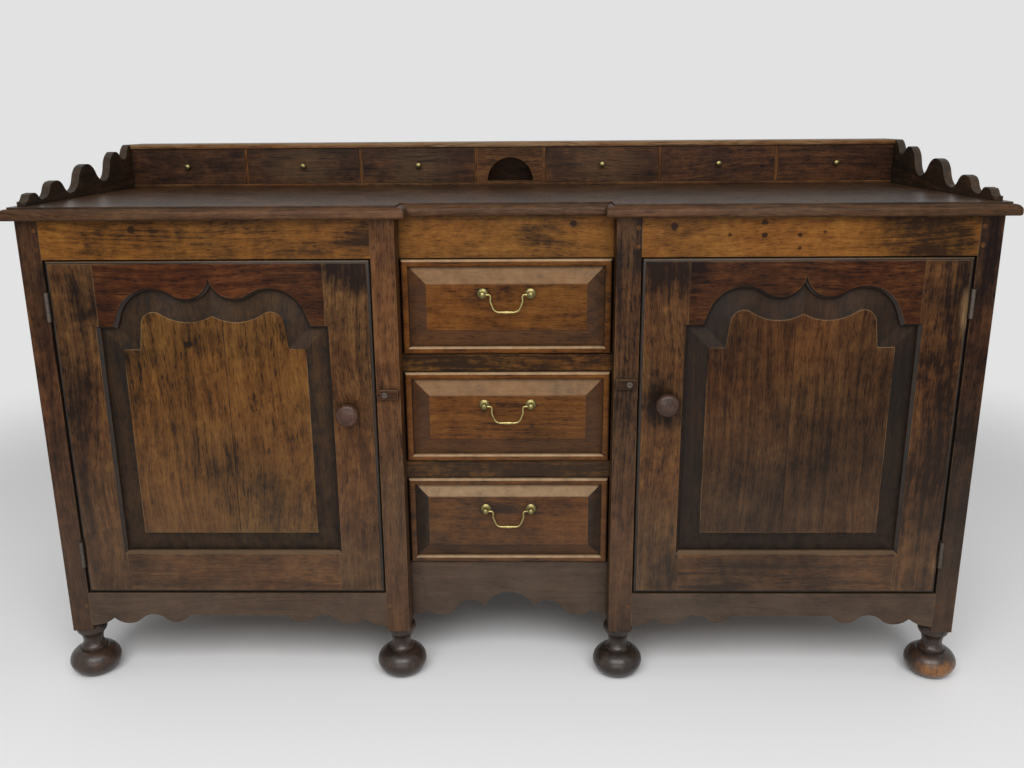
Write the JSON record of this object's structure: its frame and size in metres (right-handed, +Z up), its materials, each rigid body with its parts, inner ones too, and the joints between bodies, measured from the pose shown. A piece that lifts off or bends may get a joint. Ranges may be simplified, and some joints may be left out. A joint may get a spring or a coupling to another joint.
{
  "type": "kitchen dresser",
  "caption": "Joined oak dresser base with arched fielded doors, a recessed bank of drawers, bun feet, a moulded worktop and a wave-sided gallery of spice drawers.",
  "frame": {"origin": "on the floor, under the middle of the overall box", "axes": "+X along the front to the viewer's right, +Y from the front to the back, +Z up"},
  "size_m": [1.628, 0.594, 0.938],
  "materials": {
    "oak_frame": "waxed, patinated oak",
    "oak_panel": "waxed, flecked oak",
    "oak_worktop": "dark polished oak",
    "oak_drawer": "waxed, moulded oak",
    "oak_gallery": "nearly black waxed oak",
    "oak_turned": "turned and polished",
    "oak_inside": "dry, unpolished",
    "brass": "worn, polished by hand",
    "iron": "dark wrought iron"
  },
  "bodies": {
    "carcass": {"outer_posts": "oak_frame", "inner_posts": "oak_frame", "rear_posts": "oak_frame", "front_rails": "oak_frame", "aprons": "oak_frame", "side_rails": "oak_frame", "joint_pegs": "oak_frame", "side_panels": "oak_panel", "top_board": "oak_worktop", "gallery_sides": "oak_gallery", "spice_case_boards": "oak_gallery", "spice_case_dividers": "oak_gallery", "pigeonhole_front": "oak_gallery", "bun_feet": "oak_turned", "back_rails": "oak_inside", "back_boards": "oak_inside", "partitions": "oak_inside", "floor_boards": "oak_inside", "cupboard_shelves": "oak_inside", "runners_and_bearers": "oak_inside", "hinge_fixed_leaves": "iron", "turn_button_screws": "iron"},
    "left_door": {"left_door_stiles": "oak_frame", "left_door_top_rail": "oak_frame", "left_door_bottom_rail": "oak_frame", "left_door_panel": "oak_panel", "left_door_knob": "oak_turned", "left_door_hinge_leaves": "iron"},
    "left_turn_button": {"left_turn_button": "oak_frame"},
    "right_door": {"right_door_stiles": "oak_frame", "right_door_top_rail": "oak_frame", "right_door_bottom_rail": "oak_frame", "right_door_panel": "oak_panel", "right_door_knob": "oak_turned", "right_door_hinge_leaves": "iron"},
    "right_turn_button": {"right_turn_button": "oak_frame"},
    "upper_drawer": {"upper_drawer_front": "oak_drawer", "upper_drawer_box": "oak_inside", "upper_drawer_handle_posts": "brass"},
    "upper_bail": {"upper_drawer_bail": "brass"},
    "middle_drawer": {"middle_drawer_front": "oak_drawer", "middle_drawer_box": "oak_inside", "middle_drawer_handle_posts": "brass"},
    "middle_bail": {"middle_drawer_bail": "brass"},
    "lower_drawer": {"lower_drawer_front": "oak_drawer", "lower_drawer_box": "oak_inside", "lower_drawer_handle_posts": "brass"},
    "lower_bail": {"lower_drawer_bail": "brass"},
    "spice_drawer_1": {"spice_drawer_1": "oak_gallery", "spice_knob_1": "brass"},
    "spice_drawer_2": {"spice_drawer_2": "oak_gallery", "spice_knob_2": "brass"},
    "spice_drawer_3": {"spice_drawer_3": "oak_gallery", "spice_knob_3": "brass"},
    "spice_drawer_4": {"spice_drawer_4": "oak_gallery", "spice_knob_4": "brass"},
    "spice_drawer_5": {"spice_drawer_5": "oak_gallery", "spice_knob_5": "brass"},
    "spice_drawer_6": {"spice_drawer_6": "oak_gallery", "spice_knob_6": "brass"}
  },
  "joints": [
    {"name": "left_door_hinge", "type": "hinge", "parent": "carcass", "child": "left_door", "pos_m": [-0.75025, -0.2668, 0.47], "axis": [0, 0, -1], "range_deg": [0, 110]},
    {"name": "left_turn_button_pivot", "type": "hinge", "parent": "carcass", "child": "left_turn_button", "pos_m": [-0.2035, -0.263, 0.541], "axis": [0, -1, 0], "range_deg": [0, 180]},
    {"name": "right_door_hinge", "type": "hinge", "parent": "carcass", "child": "right_door", "pos_m": [0.75025, -0.2668, 0.47], "axis": [0, 0, 1], "range_deg": [0, 110]},
    {"name": "right_turn_button_pivot", "type": "hinge", "parent": "carcass", "child": "right_turn_button", "pos_m": [0.2035, -0.263, 0.558], "axis": [0, 1, 0], "range_deg": [0, 180]},
    {"name": "upper_drawer_slide", "type": "slide", "parent": "carcass", "child": "upper_drawer", "axis": [0, -1, 0], "range_m": [0, 0.32]},
    {"name": "upper_bail_swing", "type": "hinge", "parent": "upper_drawer", "child": "upper_bail", "pos_m": [0, -0.234, 0.703], "axis": [-1, 0, 0], "range_deg": [0, 85]},
    {"name": "middle_drawer_slide", "type": "slide", "parent": "carcass", "child": "middle_drawer", "axis": [0, -1, 0], "range_m": [0, 0.32]},
    {"name": "middle_bail_swing", "type": "hinge", "parent": "middle_drawer", "child": "middle_bail", "pos_m": [0, -0.234, 0.51], "axis": [-1, 0, 0], "range_deg": [0, 85]},
    {"name": "lower_drawer_slide", "type": "slide", "parent": "carcass", "child": "lower_drawer", "axis": [0, -1, 0], "range_m": [0, 0.32]},
    {"name": "lower_bail_swing", "type": "hinge", "parent": "lower_drawer", "child": "lower_bail", "pos_m": [0, -0.234, 0.317], "axis": [-1, 0, 0], "range_deg": [0, 85]},
    {"name": "spice_drawer_1_slide", "type": "slide", "parent": "carcass", "child": "spice_drawer_1", "axis": [0, -1, 0], "range_m": [0, 0.075]},
    {"name": "spice_drawer_2_slide", "type": "slide", "parent": "carcass", "child": "spice_drawer_2", "axis": [0, -1, 0], "range_m": [0, 0.075]},
    {"name": "spice_drawer_3_slide", "type": "slide", "parent": "carcass", "child": "spice_drawer_3", "axis": [0, -1, 0], "range_m": [0, 0.075]},
    {"name": "spice_drawer_4_slide", "type": "slide", "parent": "carcass", "child": "spice_drawer_4", "axis": [0, -1, 0], "range_m": [0, 0.075]},
    {"name": "spice_drawer_5_slide", "type": "slide", "parent": "carcass", "child": "spice_drawer_5", "axis": [0, -1, 0], "range_m": [0, 0.075]},
    {"name": "spice_drawer_6_slide", "type": "slide", "parent": "carcass", "child": "spice_drawer_6", "axis": [0, -1, 0], "range_m": [0, 0.075]}
  ]
}
